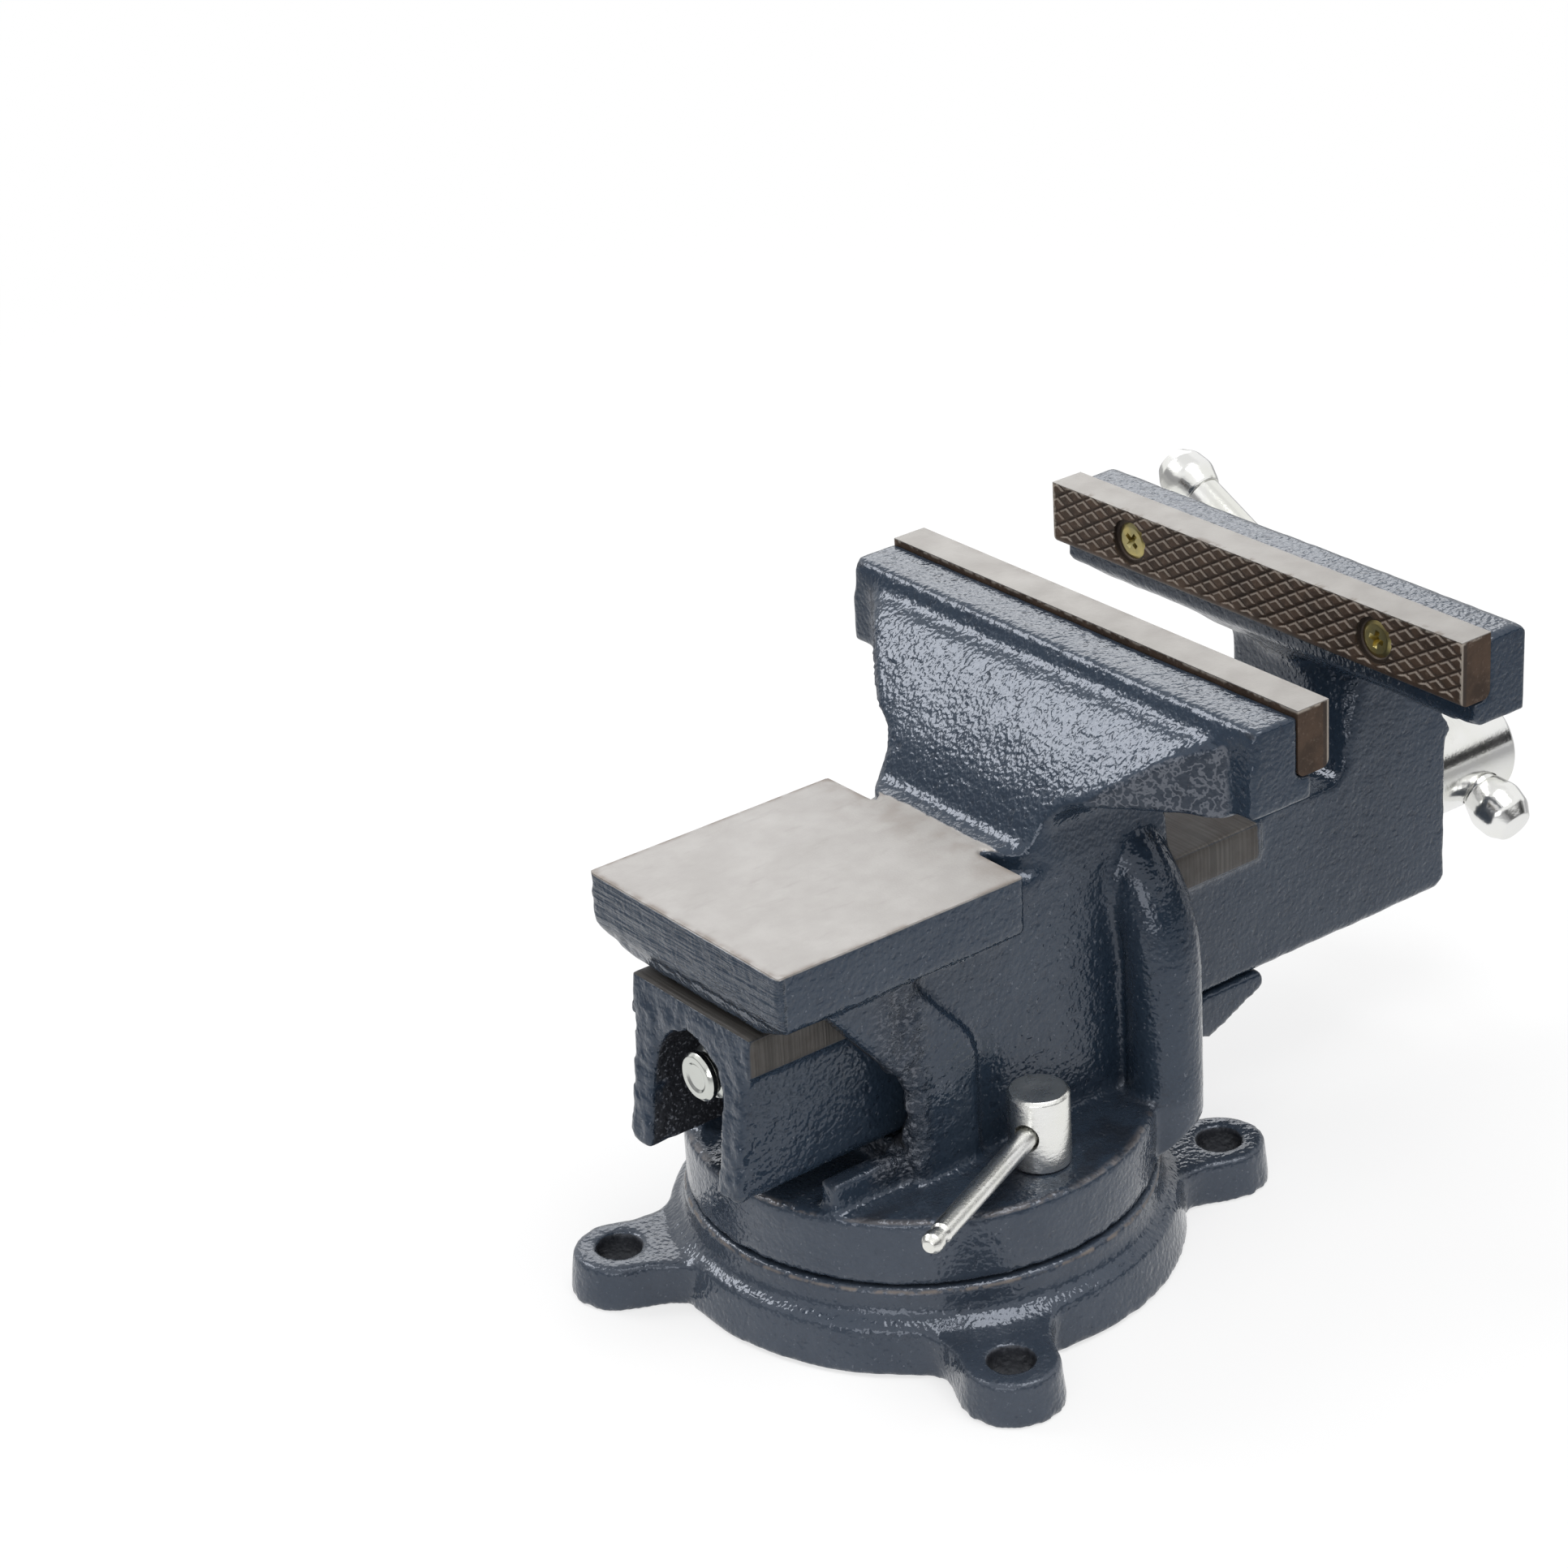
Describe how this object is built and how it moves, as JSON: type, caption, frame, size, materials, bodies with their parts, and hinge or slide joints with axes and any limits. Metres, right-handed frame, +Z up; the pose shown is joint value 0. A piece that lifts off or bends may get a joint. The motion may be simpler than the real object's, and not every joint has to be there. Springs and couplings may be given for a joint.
{
  "type": "swivel bench vise",
  "caption": "Swivel-base bench vise with an anvil, replaceable serrated jaw plates, a screw-driven sliding jaw and lever-locked turning base.",
  "frame": {"origin": "swivel axis at the base's underside, on the bench top", "axes": "+X from the anvil towards the spindle handle, +Y to the left seen from the anvil, +Z up"},
  "size_m": [0.2855, 0.1961, 0.1514],
  "materials": {
    "cast_paint": "gloss hammered enamel on cast iron, machined lands bare",
    "jaw_steel": "dark hardened steel, ground top edge",
    "zinc": "bright zinc plate",
    "gold_zinc": "yellow zinc plate",
    "nut_iron": "as cast, oiled",
    "plain_steel": "turned"
  },
  "bodies": {
    "base": {"base": "cast_paint"},
    "turning_body": {"fixed_jaw": "cast_paint", "fixed_jaw_plate": "jaw_steel", "fixed_plate_screws": "gold_zinc", "spindle_nut": "nut_iron", "nut_bolt": "plain_steel", "nut_washer": "plain_steel", "lock_nut_right": "nut_iron", "lock_nut_left": "nut_iron"},
    "lock_right": {"lock_screw_right": "zinc"},
    "lever_right": {"lock_lever_right": "zinc"},
    "lock_left": {"lock_screw_left": "zinc"},
    "lever_left": {"lock_lever_left": "zinc"},
    "slide": {"moving_jaw": "cast_paint", "moving_jaw_plate": "jaw_steel", "moving_plate_screws": "gold_zinc"},
    "spindle": {"spindle": "zinc", "thrust_washer": "plain_steel", "spindle_pin": "plain_steel"},
    "handle": {"handle_bar": "zinc", "handle_knob_upper": "zinc", "handle_knob_lower": "zinc"}
  },
  "joints": [
    {"name": "swivel", "type": "hinge", "parent": "base", "child": "turning_body", "pos_m": [0, 0, 0.0212], "axis": [0, 0, 1], "continuous": true},
    {"name": "jaw_slide", "type": "slide", "parent": "turning_body", "child": "slide", "axis": [1, 0, 0], "range_m": [-0.0442, 0.08]},
    {"name": "spindle_turn", "type": "hinge", "parent": "slide", "child": "spindle", "pos_m": [0.1643, 0, 0.0714], "axis": [1, 0, 0], "range_deg": [-3983, 7205]},
    {"name": "handle_slide", "type": "slide", "parent": "spindle", "child": "handle", "axis": [0, 0.891, 0.454], "range_m": [-0.0933, 0]},
    {"name": "lock_turn_right", "type": "hinge", "parent": "turning_body", "child": "lock_right", "pos_m": [0.0025, -0.044, 0.0494], "axis": [0, 0, 1], "range_deg": [-25, 138]},
    {"name": "lever_slide_right", "type": "slide", "parent": "lock_right", "child": "lever_right", "axis": [-0.9135, -0.4067, 0], "range_m": [-0.011, 0]},
    {"name": "lock_turn_left", "type": "hinge", "parent": "turning_body", "child": "lock_left", "pos_m": [0.0025, 0.044, 0.0494], "axis": [0, 0, 1], "range_deg": [-8, 152]},
    {"name": "lever_slide_left", "type": "slide", "parent": "lock_left", "child": "lever_left", "axis": [0.9135, 0.4067, 0], "range_m": [-0.011, 0]}
  ],
  "couplings": [
    {"joint": "spindle_turn", "follows": "jaw_slide", "rad_per_m": 1570.8}
  ]
}
